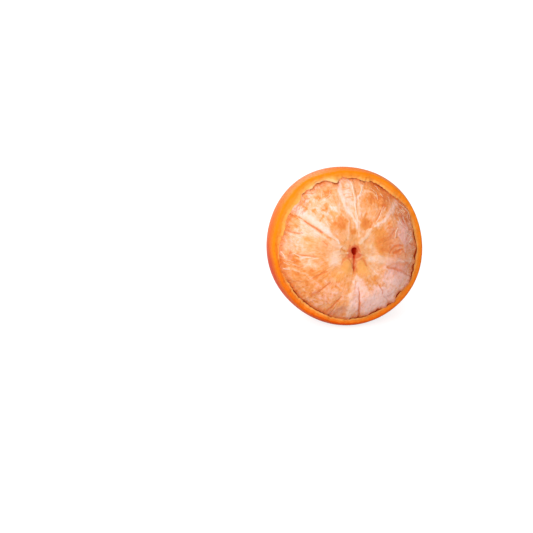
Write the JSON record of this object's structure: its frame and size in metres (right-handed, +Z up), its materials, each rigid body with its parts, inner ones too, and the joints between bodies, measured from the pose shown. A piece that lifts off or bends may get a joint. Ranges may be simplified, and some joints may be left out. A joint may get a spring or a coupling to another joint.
{
  "type": "mandarin",
  "caption": "Part-peeled mandarin: a rind cup with a torn rim and a calyx at its back, round a ring of juicy segments that meet at an open core.",
  "frame": {"origin": "middle of the small flat spot under the rind, on the surface that the fruit rests on", "axes": "+Z up; -Y the side that the opened end looks towards; +X to the right of that side"},
  "size_m": [0.0613, 0.0512, 0.0594],
  "materials": {
    "rind": "waxy orange citrus skin with fine oil-gland pits and a paler, spongy torn edge",
    "flesh": "moist, slightly see-through membrane over orange pulp, with white pith bands and threads",
    "calyx": "dry olive-green calyx with a paler cut stalk"
  },
  "bodies": {
    "root": {"rind": "rind", "segment_01": "flesh", "segment_02": "flesh", "segment_03": "flesh", "segment_04": "flesh", "segment_05": "flesh", "segment_06": "flesh", "segment_07": "flesh", "segment_08": "flesh", "segment_09": "flesh", "segment_10": "flesh", "segment_11": "flesh", "segment_12": "flesh", "segment_13": "flesh", "calyx": "calyx"}
  },
  "joints": []
}
